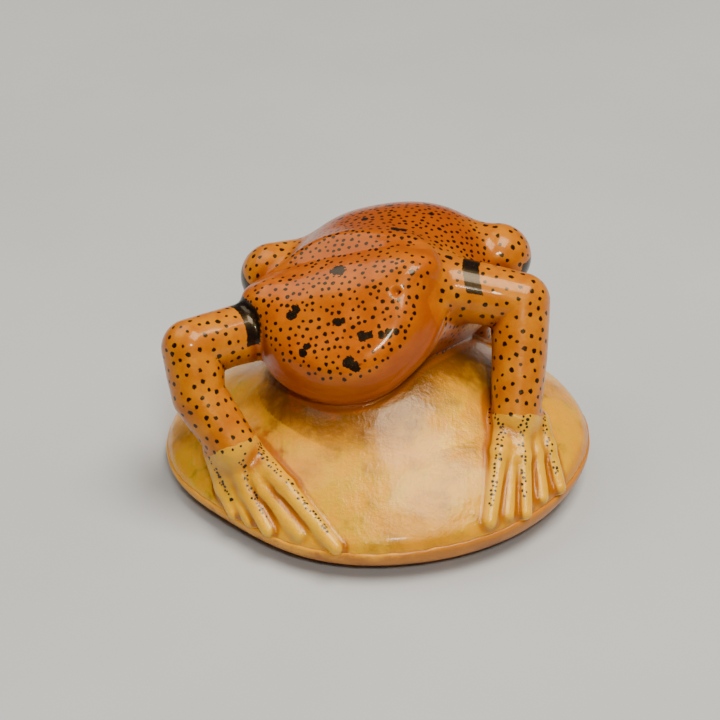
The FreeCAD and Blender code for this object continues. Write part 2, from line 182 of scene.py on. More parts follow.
def ellipsoid(p, middle, radii, axes=None):
    # scaled length of the point, times itself less one, over its doubly scaled length
    q = p - middle
    if axes is not None:
        q = q @ axes
    k0 = np.sqrt(((q / radii) ** 2).sum(1))
    k1 = np.sqrt(((q / radii**2) ** 2).sum(1)) + 1e-9
    return k0 * (k0 - 1) / k1


def join(a, b, k):
    # the lesser of two distances, melted together where they differ by less than k
    h = np.maximum(k - np.abs(a - b), 0) / k
    return np.minimum(a, b) - h * h * k / 4


def meet(a, b, k):
    # the greater of two distances, rounded where they differ by less than k
    return -join(-a, -b, k)


def near(p, *ends, reach=4.5):
    # points close enough to a form for it to matter there
    low = np.min(ends, axis=0) - reach
    high = np.max(ends, axis=0) + reach
    return ((p > low) & (p < high)).all(1)


def only(mask, p, distance, far=6.0):
    # a distance worked out only where the mask holds
    out = np.full(len(p), far, np.float32)
    if mask.any():
        out[mask] = distance(p[mask])
    return out


def outline(p):
    # plan of the nut: angle round it, and how far its edge is drawn in there
    angle = np.arctan2(p[:, 1] / nut["halfY"], p[:, 0] / nut["halfX"])
    off = (np.degrees(angle) - nut["flatAngle"] + 180) % 360 - 180
    wave = sum(share * np.sin(number * angle + start) for share, number, start in nut["waves"])
    return 1 - nut["flat"] * np.exp(-((off / nut["flatWide"]) ** 2)) - nut["tight"] + wave


def leaned(p):
    # the nut's own coordinates: edge drawn out to the ellipse, and its lean taken away
    q = p.astype(float).copy()
    q[:, :2] /= outline(p)[:, None]
    q[:, 2] -= nut["lean"] * (q[:, 0] / nut["halfX"]) * np.clip(p[:, 2] / nut["rim"], 0, 1)
    return q


rimShare = math.sqrt(1 - 1 / nut["spread"] ** 2)
domeRound = nut["rise"] / (1 - rimShare)
domeMiddle = nut["rim"] + nut["rise"] - domeRound
rimSlope = math.sqrt(1 - 1 / nut["bulge"] ** 2)
footSlope = math.sqrt(1 - (nut["foot"] / (nut["bulge"] * 2 * nut["halfX"])) ** 2)
bellyRound = nut["rim"] / (footSlope - rimSlope)
bellyMiddle = bellyRound * footSlope


def ground(p):
    # height of the carved top over points in plan: upper half of the dome's ellipsoid, leaned
    q = leaned(np.column_stack([p[:, :2], np.full(len(p), nut["rim"])]))
    across = (q[:, 0] / (nut["halfX"] * nut["spread"])) ** 2
    along = (q[:, 1] / (nut["halfY"] * nut["spread"])) ** 2
    top = domeMiddle + domeRound * np.sqrt(np.maximum(1 - across - along, 0))
    return top + nut["lean"] * q[:, 0] / nut["halfX"]


facets = {  # flats that the knife left on the dome: angle round it, distance out, depth of the cut
    "seed": 11, "count": 26, "sway": 0.2, "out": (0.45, 0.92), "depth": 0.16, "uneven": (0.4, 1.0),
}
rng = np.random.default_rng(facets["seed"])
facetAngle = np.linspace(0, 2 * np.pi, facets["count"], endpoint=False)
facetAngle += rng.uniform(-facets["sway"], facets["sway"], facets["count"])
facetOut = rng.uniform(*facets["out"], facets["count"])
facetDepth = facets["depth"] * rng.uniform(*facets["uneven"], facets["count"])


def nutKernel(p):
    # dome over belly over floor, with flats cut into the dome and the mound melted onto it
    q = leaned(p)
    flatten = np.array([nut["halfX"] * nut["spread"], nut["halfY"] * nut["spread"], domeRound])
    middle = np.array([0, 0, domeMiddle])
    dome = ellipsoid(q, middle, flatten)
    high = p[:, 2] > 2
    for angle, out, depth in zip(facetAngle, facetOut, facetDepth):
        share = np.array([math.cos(angle) * out / nut["spread"], math.sin(angle) * out / nut["spread"], 0])
        share[2] = math.sqrt(1 - share @ share)
        normal = share / flatten
        normal /= np.linalg.norm(normal)
        plane = (q - middle - share * flatten) @ normal + depth
        dome = np.where(high, meet(dome, plane, melt["facet"]), dome)
    under = np.array([nut["halfX"] * nut["bulge"], nut["halfY"] * nut["bulge"], bellyRound]) - nut["skin"]
    belly = ellipsoid(q, np.array([0, 0, bellyMiddle]), under)
    lipHeight = nut["rim"] - nut["lip"]
    drawnIn = nut["edgeIn"] + nut["underIn"] * np.clip((lipHeight - q[:, 2]) * 2, 0, 1)
    wall = (np.hypot(q[:, 0] / nut["halfX"], q[:, 1] / nut["halfY"]) - 1) * nut["halfY"] + drawnIn
    side = np.where(q[:, 2] > lipHeight - nut["skin"], wall, np.maximum(belly, wall))
    mound = ellipsoid(p, nut["moundMiddle"], nut["moundRound"])
    lifted = join(dome, mound, nut["moundBlend"])
    return meet(meet(lifted, side, nut["edgeRound"]), -p[:, 2], melt["foot"])


def headLocal(p):
    # places in the head's own axes
    return (p - at["head"]) @ headAxes


def headShape(p):
    # a plate whose plan is the hull of three circles, melted with the jowls: rounded below, crowned and
    # bevelled above, with the mouth line cut round it and a small pit
    h = headForm
    q = headLocal(p)
    (one, oneRound), (two, twoRound) = ((np.array(c[:2]), c[2]) for c in h["cheeks"])
    snout, snoutRound = np.array(h["snout"][:2]), h["snout"][2]
    plan = q[:, :2]
    flat = join(
        roundCone(plan, snout, one, snoutRound, oneRound),
        roundCone(plan, snout, two, snoutRound, twoRound),
        melt["cheeks"],
    )
    for x, y, radius in h["jowls"]:
        flat = join(flat, np.hypot(plan[:, 0] - x, plan[:, 1] - y) - radius, melt["jowls"])
    flat = join(flat, roundCone(plan, one, two, oneRound, twoRound), melt["jowls"])
    inside = np.clip(-flat, 0, 8)
    level = q[:, 2] - np.where(q[:, 2] > 0, h["crown"] * (1 - np.exp(-inside / h["crownSpread"])), 0)
    across = flat + h["round"]
    over = np.abs(level) - h["deep"] / 2 + h["round"]
    outside = np.hypot(np.maximum(across, 0), np.maximum(over, 0))
    below = np.minimum(np.maximum(across, over), 0) + outside - h["round"]
    rear = h["backFill"] * np.clip(q[:, 1] - 0.5, 0, 6)  # the bevel fades out where the back carries on
    band = h["bevel"][0] * (flat - rear) + h["bevel"][1] * level - h["bevel"][2]
    top = level - h["deep"] / 2 + h["backDrop"] * np.clip(q[:, 1] + 0.5, 0, 6) ** 2
    above = meet(meet(top, band, h["soft"]), flat, melt["topEdge"])
    share = np.clip(level / h["change"] + 0.5, 0, 1)
    d = below + (above - below) * share * share * (3 - 2 * share)
    for eye in h["eyes"]:
        d = join(d, np.linalg.norm(q - np.array(eye), axis=1) - h["eye"], h["eyeBlend"])
    groove = np.exp(-(((q[:, 2] - h["mouth"]) / h["mouthWide"]) ** 2))
    d = d + h["mouthDeep"] * groove * (q[:, 1] < h["mouthBack"]) * (np.abs(flat) < h["soft"])
    pit = np.hypot(q[:, 0] - h["pit"][0], q[:, 1] - h["pit"][1]) / h["pitRound"]
    return d + h["pitDeep"] * np.exp(-(pit**2)) * (q[:, 2] > 1)


def torsoShape(p):
    # long body, the rump that the hips are carved from, and the nape that carries the back on into the head
    t = torsoForm
    body = ellipsoid(p, at["torso"], t["round"], torsoAxes)
    rump = ellipsoid(p, at["torso"] + np.array(t["rump"]), t["rumpRound"])
    d = join(body, rump, t["rumpBlend"])
    nape = None
    for start, end in t["napes"]:
        start, end = (at["head"] + headAxes @ np.array(v) for v in (start, end))
        part = roundCone(p, start, end, t["nape"], t["nape"])
        nape = part if nape is None else join(nape, part, t["napeGap"])
    return join(d, nape, t["napeBlend"])


def bowed(a, b, out, share=0.5):
    # a place along a limb, pushed sideways so that the limb isn't a straight rod
    return a + (b - a) * share + np.array(out)


def bend(p, a, b, middle, radius, k):
    # two lengths of a limb melted together in the crook, but not swollen round the ball that they share
    ball = np.linalg.norm(p - middle, axis=1) - radius
    least = np.minimum(a, b)
    h = np.maximum(k - np.abs(a - b), 0) / k
    away = np.clip((ball - least) / (1.6 * k), 0, 1)
    return least - h * h * k / 4 * away * away * (3 - 2 * away)


def limbShape(p, points, rounds):
    # round cones end to end along a limb's points
    d = None
    for a, b, ra, rb in zip(points, points[1:], rounds, rounds[1:]):
        part = only(near(p, a, b, reach=5.5), p, lambda q: roundCone(q, a, b, ra, rb))
        d = part if d is None else bend(p, d, part, a, ra, melt["limb"])
    return d


def limbPaths():
    # centre points and radii of each limb's two lengths, in the order of the CAD nodes
    paths = {}
    for side, out in (("left", 1), ("right", -1)):
        shoulder, elbow, wrist = (at[side + n] for n in ("Shoulder", "Elbow", "Wrist"))
        hip, knee, ankle = (at[side + n] for n in ("Hip", "Knee", "Ankle"))
        forearm = bowed(elbow, wrist, limb["bows"][side])
        shin = bowed(knee, ankle, (out * limb["shinBow"], limb["shinBack"], 0))
        paths[f"{side}_upper_arm"] = ([shoulder, elbow], [limb["shoulder"], limb["elbow"]])
        rounds = [limb["elbow"], limb["forearms"][side], limb["wrist"]]
        paths[f"{side}_forearm"] = ([elbow, forearm, wrist], rounds)
        paths[f"{side}_thigh"] = ([hip, knee], [limb["hip"], limb["knee"]])
        paths[f"{side}_shin"] = ([knee, shin, ankle], [limb["knee"], limb["shin"], limb["ankle"]])
    return paths


paths = limbPaths()


def toeLines(node):
    # each toe's centre line from the wrist or ankle to its tip, standing just out of the nut
    side = node.split("_")[0]
    root = at[side + ("Wrist" if "hand" in node else "Ankle")]
    lines = []
    for (aside, ahead), tip in toeEnds[node]:
        drop = limb["heelDrop"] + limb["heelSlope"] * math.hypot(aside, ahead)
        start = root + np.array([aside, ahead, -drop])
        end = spot(node, *tip, 0)
        share = math.hypot(end[0] / nut["halfX"], end[1] / nut["halfY"]) / outline(end[None])[0]
        end[:2] *= min(1, limb["toeReach"] / share)  # the tips stop short of the nut's edge
        end[2] = ground(end[None])[0] + limb["toeLift"]
        knuckle = start + (end - start) * limb["knuckle"]
        knuckle[2] = ground(knuckle[None])[0] + limb["knuckleLift"]
        lines.append((start, knuckle, end))
    return lines


toes = {node: toeLines(node) for node in toeEnds}


def pawShape(p, node):
    # toes as round cones over the nut, and the webs between them lower and thinner
    lines = toes[node]
    box = near(p, *(point for line in lines for point in line), reach=4.0)

    def paw(q):
        d = None
        for start, knuckle, end in lines:
            toe = join(
                roundCone(q, start, knuckle, limb["toeHeel"], limb["toeRoot"]),
                roundCone(q, knuckle, end, limb["toeRoot"], limb["toeTip"]),
                limb["toeBlend"],
            )
            d = toe if d is None else join(d, toe, limb["pawBlend"])
        for one, two in zip(lines, lines[1:]):
            start, tip = (one[0] + two[0]) / 2, (one[2] + two[2]) / 2
            tip = start + (tip - start) * limb["webReach"]
            middle = start + (tip - start) * limb["webShare"]
            middle[2] = ground(middle[None])[0] - limb["webSink"][0]
            tip[2] = ground(tip[None])[0] - limb["webSink"][1]
            web = join(
                roundCone(q, start, middle, limb["webHeel"], limb["webMiddle"]),
                roundCone(q, middle, tip, limb["webMiddle"], limb["web"]),
                limb["toeBlend"],
            )
            d = join(d, web, limb["pawBlend"])
        return d

    return only(box, p, paw)


def forms(p):
    # distance to each form on its own; these name the pieces
    d = {"nut_kernel": nutKernel(p)}
    high = p[:, 2] > trunkFloor
    d["head"] = only(high, p, headShape)
    d["torso"] = only(high, p, torsoShape)
    for name, (points, rounds) in paths.items():
        d[name] = limbShape(p, points, rounds)
    for node in toes:
        d[node] = pawShape(p, node)
    return d


def carving(p, d=None):
    # the whole block: the forms melted into each other, more softly in the trunk than at the toes
    d = d or forms(p)
    frog = join(d["torso"], d["head"], melt["nape"])
    for side in ("left", "right"):
        upper, lower = d[f"{side}_upper_arm"], d[f"{side}_forearm"]
        arm = bend(p, upper, lower, at[side + "Elbow"], limb["elbow"], melt["elbow"])
        thigh, shin = d[f"{side}_thigh"], d[f"{side}_shin"]
        leg = bend(p, thigh, shin, at[side + "Knee"], limb["knee"], melt["knee"])
        arm = join(arm, d[f"{side}_hand"], melt["wrist"])
        leg = join(leg, d[f"{side}_foot"], melt["wrist"])
        frog = join(join(frog, arm, melt["shoulder"]), leg, melt["hip"])
    return join(frog, d["nut_kernel"], melt["nut"])


# ---- one skin from the field


def sampled(field, low, step, counts, skip=4):
    # field values on a grid: rough everywhere, exact only near the surface
    blocks = [-(-n // skip) for n in counts]
    axes = [low[i] + step * (np.arange(blocks[i]) * skip + (skip - 1) / 2) for i in range(3)]
    grid = np.stack(np.meshgrid(*axes, indexing="ij"), -1).reshape(-1, 3)
    rough = field(grid).reshape(blocks).astype(np.float32)
    value = rough.repeat(skip, 0).repeat(skip, 1).repeat(skip, 2)
    value = value[: counts[0], : counts[1], : counts[2]].copy()
    close = np.argwhere(np.abs(value) < step * skip * 1.35)
    for part in np.array_split(close, max(1, len(close) // 400000)):
        value[tuple(part.T)] = field(low + step * part)
    return value


def surfaceNet(value, low, step):
    # one point in each cell that the surface crosses, at the mean of its edge crossings, and a face across
    # each crossed edge
    inside = value < 0
    nx, ny, nz = value.shape
    total = np.zeros((nx - 1, ny - 1, nz - 1, 3), np.float32)
    number = np.zeros((nx - 1, ny - 1, nz - 1), np.float32)
    cut = (slice(None, -1), slice(1, None))
    for axis in range(3):
        others = [i for i in range(3) if i != axis]
        for i in range(2):
            for j in range(2):
                here = [cut[0]] * 3
                here[others[0]], here[others[1]] = cut[i], cut[j]
                there = list(here)
                there[axis] = cut[1]
                a, b = value[tuple(here)], value[tuple(there)]
                crossed = (a < 0) != (b < 0)
                where = np.where(crossed, a / np.where(crossed, a - b, 1), 0)
                number += crossed
                total[..., axis] += where
                total[..., others[0]] += crossed * i
                total[..., others[1]] += crossed * j
    cells = number > 0
    index = np.full(cells.shape, -1, np.int64)
    index[cells] = np.arange(cells.sum())
    points = low + step * (np.argwhere(cells) + total[cells] / number[cells][:, None])
    faces = []
    for axis in range(3):
        u, v = (axis + 1) % 3, (axis + 2) % 3
        here = [slice(1, -1)] * 3
        here[axis] = slice(None, -1)
        there = list(here)
        there[axis] = slice(1, None)
        a, b = inside[tuple(here)], inside[tuple(there)]
        edges = np.argwhere(a != b)
        out = a[tuple(edges.T)]
        base = edges.copy()
        base[:, u] += 1
        base[:, v] += 1
        corners = []
        for du, dv in ((-1, -1), (0, -1), (0, 0), (-1, 0)):
            c = base.copy()
            c[:, u] += du
            c[:, v] += dv
            corners.append(index[tuple(c.T)])
        quad = np.stack(corners, 1)
        quad[~out] = quad[~out][:, ::-1]
        faces.append(quad)
    return points, np.concatenate(faces)


def slope(field, p, e=0.04):
    # gradient by central differences
    return np.stack([(field(p + s) - field(p - s)) / (2 * e) for s in np.eye(3) * e], 1)


def settle(field, p, rounds=2, most=0.12):
    # moves points along the slope onto the surface
    for _ in range(rounds):
        g = slope(field, p)
        move = field(p)[:, None] * g / ((g**2).sum(1)[:, None] + 1e-6)
        length = np.linalg.norm(move, axis=1)[:, None] + 1e-9
        p = p - move * np.minimum(1, most / length)
    return p


step = 0.22
lowAll, highAll = (np.array(c) / mm for c in cadBox)
low = np.array([lowAll[0] - 3 * step, lowAll[1] - 3 * step, -3 * step])
counts = [int(n) for n in np.ceil((highAll + 6 * step - low) / step)]
print("stage: field", counts)
value = sampled(carving, low, step, counts)
points, quads = surfaceNet(value, low, step)
print("stage: skin", len(points), "points", len(quads), "faces")
points = settle(carving, points)
points[:, 2] = np.clip(points[:, 2], 0, None)
normals = slope(carving, points)
normals /= np.linalg.norm(normals, axis=1)[:, None] + 1e-9
print("stage: settled")

# ---- which piece each face belongs to


pawJoints = (("Wrist", "Elbow"), ("Ankle", "Knee"))


def pieceNames(p):
    # the nearest form, then the jaw below the mouth line, the eyes, and the hands past the wrist
    d = forms(p)
    names = list(d)
    who = np.array(names, dtype=object)[np.argmin(np.stack([d[n] for n in names]), 0)]
    q = headLocal(p)
    who[(who == "head") & (q[:, 2] < headForm["mouth"])] = "lower_jaw"
    for number, name in enumerate(("left_eye", "right_eye")):
        x, y = headForm["eyes"][number][:2]
        patch = np.hypot(q[:, 0] - x, q[:, 1] - y) < headForm["eyePatch"]
        who[(who == "head") & patch & (q[:, 2] > 1)] = name
    for side in ("left", "right"):
        for paw, upper, (joint, above) in (("hand", "forearm", pawJoints[0]), ("foot", "shin", pawJoints[1])):
            past = pastJoint(p, side, joint, above)
            who[(who == f"{side}_{upper}") & (past > 0)] = f"{side}_{paw}"
            who[(who == f"{side}_{paw}") & (past < 0)] = f"{side}_{upper}"
    return who


def pastJoint(p, side, joint, above):
    # how far past a wrist or ankle, along the limb
    along = at[side + joint] - at[side + above]
    return (p - at[side + joint]) @ (along / np.linalg.norm(along))


faceName = pieceNames(points[quads].mean(1))
print("stage: named", {n: int((faceName == n).sum()) for n in sorted(set(faceName))})

# ---- ink, dye, stains and painted shade, kept as attributes of the points

ink = {
    "seed": 5,
    "small": 0.22, "limbSmall": 0.26,
    "headGap": 0.98, "backGap": 0.92, "limbGap": 1.42,
    "spread": (0.72, 1.12), "gapSpread": (0.62, 1.18),  # shares of the sizes and gaps
    "toe": 0.16, "toeSpread": (0.75, 1.2), "toeGap": 0.52, "toeAside": 0.27, "toeOver": 1.1, "toeKept": 0.78,
    "edge": 2.9,  # height on the head where the dots stop
    "bandGap": 0.35,
    "tries": 30000, "rounds": 40,
}
blotches = [  # on the head's top, in its own x and y, and the radius
    (0.0, 3.0, 0.85), (-5.6, -1.6, 0.6), (-5.0, -1.1, 0.5), (-0.6, -3.4, 0.5), (0.0, -3.3, 0.35),
    (2.0, -5.4, 0.62), (2.7, -5.4, 0.5), (4.1, -5.7, 0.45), (4.8, -5.6, 0.5), (5.6, -5.5, 0.35),
    (0.2, -8.0, 0.7), (0.7, -8.5, 0.6), (-4.9, -6.0, 0.5), (-4.3, -5.5, 0.45),
    (5.9, -2.0, 0.26), (6.4, -1.9, 0.28), (8.3, 0.9, 0.32),
]
backBlots = [  # on the back: share across and along the trunk, and the radius
    (0.17, -0.14, 0.62), (0.24, -0.13, 0.5), (0.40, 0.32, 0.42), (-0.20, 0.05, 0.45), (0.74, -0.30, 0.5),
    (-0.05, 0.42, 0.5), (0.3, 0.55, 0.42), (-0.5, 0.2, 0.4),
]


def inkCentres():
    # centres and radii: blotches at their places, two rows down each toe, then dots scattered a gap apart
    rng = np.random.default_rng(ink["seed"])
    who = pieceNames(points)
    q = headLocal(points)
    centres, radii = [], []
    for x, y, r in blotches:
        far = np.hypot(q[:, 0] - x, q[:, 1] - y) + 9 * (q[:, 2] < 1)
        centres.append(points[np.argmin(far)])
        radii.append(r)
    t = (points - at["torso"]) @ torsoAxes / torsoForm["round"]
    for x, y, r in backBlots:
        far = np.hypot(t[:, 0] - x, t[:, 1] - y) + 9 * (t[:, 2] < 0)
        centres.append(points[np.argmin(far)])
        radii.append(r)
    for node, lines in toes.items():
        for start, knuckle, end in lines:
            count = int(np.linalg.norm(end - start) / ink["toeGap"])
            for n in range(2 * count):
                share = 0.02 + 0.93 * (n // 2 + rng.uniform(-0.3, 0.3)) / count
                if share < limb["knuckle"]:
                    a, b, way = start, knuckle, share / limb["knuckle"]
                else:
                    a, b, way = knuckle, end, (share - limb["knuckle"]) / (1 - limb["knuckle"])
                aside = np.cross((b - a) / np.linalg.norm(b - a), [0, 0, 1])
                aside *= ink["toeAside"] * (n % 2 * 2 - 1)  # the two rows take turns
                place = a + (b - a) * way + aside * rng.uniform(0.3, 1.2) + np.array([0, 0, ink["toeOver"]])
                if rng.uniform() < ink["toeKept"]:
                    centres.append(points[np.argmin(((points - place) ** 2).sum(1))])
                    radii.append(ink["toe"] * rng.uniform(*ink["toeSpread"]))
    gap = np.full(len(points), ink["limbGap"])
    gap[np.isin(who, ["head", "left_eye", "right_eye"])] = ink["headGap"]
    gap[who == "torso"] = ink["backGap"]
    bare = ["nut_kernel", "lower_jaw", "left_hand", "right_hand", "left_foot", "right_foot"]
    free = ~np.isin(who, bare) & (normals[:, 2] > -0.45)
    free &= ~(np.isin(who, ["head", "left_eye", "right_eye"]) & (q[:, 2] < ink["edge"]))
    free &= inkEdge(points) < -ink["bandGap"]
    kept, reach = np.array(centres), np.array(radii)
    chosen = rng.permutation(np.flatnonzero(free))[: ink["tries"]]
    for batch in np.array_split(chosen, ink["rounds"]):
        # a dot stays if it is clear of every kept one, and of every earlier one of its own batch
        small = np.where(gap[batch] == ink["limbGap"], ink["limbSmall"], ink["small"])
        size = small * rng.uniform(*ink["spread"], len(batch))
        space = gap[batch] * rng.uniform(*ink["gapSpread"], len(batch))
        away = np.linalg.norm(points[batch, None] - kept[None], axis=2)
        away -= np.maximum(reach - ink["small"], 0)
        clear = (away > space[:, None]).all(1)
        batch, size, space = batch[clear], size[clear], space[clear]
        close = np.linalg.norm(points[batch, None] - points[batch][None], axis=2) < space[:, None]
        first = ~np.tril(close, -1).any(1)
        kept = np.vstack([kept, points[batch[first]]])
        reach = np.append(reach, size[first])
    return kept, reach


bands = (  # from, to, share of the way, half width, slant, height over the limb's middle where it ends, reach
    ("leftShoulder", "leftElbow", 0.48, 0.95, 0.55, 1.7, 4.4),
    ("rightShoulder", "rightElbow", 0.67, 0.8, 0.15, 0.4, 4.4),
    ("leftKnee", "leftAnkle", -0.06, 1.1, 0.0, -9.0, 5.0),
    ("rightKnee", "rightAnkle", -0.06, 1.0, 0.0, -9.0, 5.0),
)


def inkEdge(p):
    # distance inside the black bands: half their width less the distance along the limb
    edge = np.full(len(p), -5.0)
    for start, end, share, half, slant, over, reach in bands:
        a, b = at[start], at[end]
        length = np.linalg.norm(b - a)
        along = (p - a) @ (b - a) / length
        off = p - a - along[:, None] * (b - a) / length
        band = half - np.abs(along - share * length + slant * off[:, 2])
        band = np.minimum(band, off[:, 2] - over)
        if "Knee" in start:  # a patch on the knee's outer side only
            band = np.minimum(band, off[:, 0] * (1 if start.startswith("left") else -1) - dyeInkAndShade["kneeFrom"])
        edge = np.where(np.linalg.norm(off, axis=1) < reach, np.maximum(edge, band), edge)
    return edge


def nearestInk(p, centres, radii):
    # for each place, the number of the centre that it is deepest in
    best = np.zeros(len(p), np.int64)
    parts = max(1, len(p) * len(centres) // 12000000)
    for part in np.array_split(np.arange(len(p)), parts):
        best[part] = (np.linalg.norm(p[part, None] - centres[None], axis=2) - radii[None]).argmin(1)
    return best


dyeInkAndShade = {  # millimetres
    "wristNear": 5.5, "wristFrom": -1.5, "wristShort": 0.2,  # where the dye stops before a wrist or ankle
    "kneeFrom": 2.2,
    # the hollows measured with these set the painted shade in creases and hollows
    "creases": 0.7, "hollows": 2.2,  # how far out the field is felt for small and large hollows
    "paint": 0.3,  # the dye reaches this far onto the toes
}


def attributes(p, n):
    # everything that the finish reads, in millimetres or shares
    d = forms(p)
    paws = np.minimum.reduce([d[f"{s}_{e}"] for s in ("left", "right") for e in ("hand", "foot")])
    limbs = np.minimum.reduce([d[k] for k in paths])
    trunk = np.minimum(d["torso"], d["head"])
    frog = np.minimum(limbs, trunk)
    dye = np.minimum(d["nut_kernel"], paws + dyeInkAndShade["paint"]) - frog
    for side in ("left", "right"):
        for joint, above in pawJoints:
            past = pastJoint(p, side, joint, above)
            close = np.linalg.norm(p - at[side + joint], axis=1) < dyeInkAndShade["wristNear"]
            stopped = np.minimum(dye, -past - dyeInkAndShade["wristShort"])
            dye = np.where(close & (past > dyeInkAndShade["wristFrom"]), stopped, dye)
    # hollow and wide measure small and large hollows, used for painted shade and for where dye bled
    hollow = 1 - carving(p + n * dyeInkAndShade["creases"]) / dyeInkAndShade["creases"]
    wide = 1 - carving(p + n * dyeInkAndShade["hollows"]) / dyeInkAndShade["hollows"]
    q = headLocal(p)
    mouthAway = np.abs(q[:, 2] - headForm["mouth"])
    return {
        "dye": dye,  # over zero where the dye was brushed on
        "deep": 1 / (1 + np.exp((trunk - limbs) * 1.6 + 0.4)),  # one on the trunk, nought on the limbs
        "hollow": np.clip(hollow, -1, 1),
        "wide": np.clip(wide, -1, 1),
        "frog": frog,
        "trunk": trunk,
        "mouth": np.where((d["head"] < 0.6) & (q[:, 1] < headForm["mouthBack"]), mouthAway, 3),
        "band": inkEdge(p),
        "paw": np.clip(0.5 - (paws - d["nut_kernel"]) / 0.6, 0, 1),
        # rear sets the painted shade on the back
        "rear": 1 / (1 + np.exp((d["torso"] - d["head"]) * 1.2)),  # one on the back, nought on the head
        # side sets the painted shade on the head's lower sides
        "side": np.clip(3.0 - q[:, 2], 0, 1) * (d["head"] < 0.5) * (d["head"] < d["torso"] + 0.5),
    }


print("stage: ink")
centres, radii = inkCentres()
nearest = nearestInk(points[quads].mean(1), centres, radii)
print("stage: ink", len(centres), "dots")
marks = attributes(points, normals)
print("stage: marks")

# ---- meshes


def fillMesh(name, p, faces, n=None, corners=None, **values):
    # points in millimetres, faces as rows of four or three, then the values kept at each corner and point
    mesh = bpy.data.meshes.new(name)
    loops = np.concatenate([f.reshape(-1) for f in faces]).astype(np.int32)
    sizes = np.concatenate([np.full(len(f), f.shape[1]) for f in faces]).astype(np.int32)
    mesh.vertices.add(len(p))
    mesh.vertices.foreach_set("co", (p * mm).astype(np.float32).ravel())
    mesh.loops.add(len(loops))
    mesh.loops.foreach_set("vertex_index", loops)
    mesh.polygons.add(len(sizes))
    mesh.polygons.foreach_set("loop_start", np.concatenate([[0], np.cumsum(sizes)[:-1]]).astype(np.int32))
    mesh.update(calc_edges=True)
    mesh.polygons.foreach_set("use_smooth", np.ones(len(sizes), bool))
    for where, group in (("POINT", values), ("CORNER", corners or {})):
        for key, value in group.items():
            kind, field = ("FLOAT_VECTOR", "vector") if value.ndim == 2 else ("FLOAT", "value")
            layer = mesh.attributes.new(key, kind, where)
            layer.data.foreach_set(field, value.astype(np.float32).ravel())
    if n is not None:
        mesh.normals_split_custom_set_from_vertices(n.tolist())
    mesh.validate()
    piece = bpy.data.objects.new(name, mesh)
    bpy.context.scene.collection.objects.link(piece)
    return piece


def innerPoint(rim):
    # the one of many places inside the block from which the most of a piece's edge is seen through solid nut
    middle = rim.mean(0)
    shifts = np.array([[x, y, z] for x in (-2, 0, 2) for y in (-2, 0, 2) for z in (-5, -3.5, -2, -1, 0)])
    some = slice(None, None, max(1, len(rim) // 80))
    shares = np.linspace(0.06, 1.0, 9)[None, :, None]
    best, least = middle, 1e9
    for shift in shifts:
        place = middle + shift
        lines = (rim[some, None] * (1 - shares) + place * shares).reshape(-1, 3)
        out = np.maximum(carving(lines), -0.02).sum() + 9 * max(0, -place[2] + 0.2)
        if out < least - 1e-6:
            best, least = place, out
    return best


def pieceOf(name):
    # a piece's share of the skin, closed by a cone from its edge to a point inside it
    mine = faceName == name
    faces = quads[mine]
    used, inverse = np.unique(faces, return_inverse=True)
    local = inverse.reshape(faces.shape)
    starts, ends = local.reshape(-1), np.roll(local, -1, 1).reshape(-1)
    count = len(used)
    edge = ~np.isin(ends * count + starts, starts * count + ends)
    a, b = starts[edge], ends[edge]
    p, n = points[used], normals[used]
    inner = innerPoint(p[a])
    cap = np.stack([b, a, np.full(len(a), count)], 1)
    values = {k: np.append(v[used], 0.0) for k, v in marks.items()}
    offset = points[faces] - centres[nearest[mine]][:, None]
    corners = {
        "inkOffset": np.vstack([offset.reshape(-1, 3), np.full((3 * len(a), 3), 9.0)]),
        "inkSize": np.append(np.repeat(radii[nearest[mine]], 4), np.full(3 * len(a), 0.1)),
    }
    p, n = np.vstack([p, inner]), np.vstack([n, [0, 0, 1.0]])
    return fillMesh(f"carved_{name}", p, [local, cap], n, corners, **values)


pieces = {}
for name in sorted(set(faceName)):
    pieces[name] = pieceOf(name)
print("stage: pieces", len(pieces))


def seedSkin():
    # ring: a closed profile of outer face, top edge, inner face and foot, carried round the nut's outline
    around, across = ((1080, 30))
    angle = np.linspace(0, 2 * np.pi, around, endpoint=False)[:, None]
    rise = np.linspace(0, np.pi / 2, across)[None]
    foot = nut["foot"] / (2 * nut["halfX"])
    # half-width share = foot + (1 - foot) sine^(2/full); height = rim (1 - cosine^(2/full))
    share = foot + (1 - foot) * np.sin(rise) ** (2 / nut["full"])
    height = (nut["rim"] - nut["lip"]) * (1 - np.maximum(np.cos(rise), 0) ** (2 / nut["full"])) + 0 * angle
    walls = []
    for thick in (0.0, nut["skin"]):
        x = np.cos(angle) * (share * nut["halfX"] - thick)
        y = np.sin(angle) * (share * nut["halfY"] - thick)
        walls.append(np.stack([x, y, height], -1))
    outer, inner = walls
    outer[:, -1, :2] *= 0.996
    chips = 0.10 * np.sin(9 * angle[:, 0] + 1) * np.sin(23 * angle[:, 0]) + 0.05 * np.sin(61 * angle[:, 0])
    outer[:, -4:, 2] += chips[:, None] * np.linspace(0.25, 1, 4)
    ring = np.concatenate([outer, inner[:, ::-1]], 1)
    total = ring.shape[1]
    ring = ring.reshape(-1, 3)
    ring[:, :2] *= outline(ring)[:, None]
    ring[:, 2] += nut["lean"] * ring[:, 0] / nut["halfX"] * np.clip(ring[:, 2] / nut["rim"], 0, 1)
    i, j = np.meshgrid(np.arange(around), np.arange(total), indexing="ij")
    i2, j2 = (i + 1) % around, (j + 1) % total
    faces = np.stack([i * total + j, i2 * total + j, i2 * total + j2, i * total + j2], -1).reshape(-1, 4)
    return fillMesh("seed_skin", ring, [faces])


pieces["outer_skin"] = seedSkin()
print("stage: seed skin")

# ---- shader maths as Python expressions


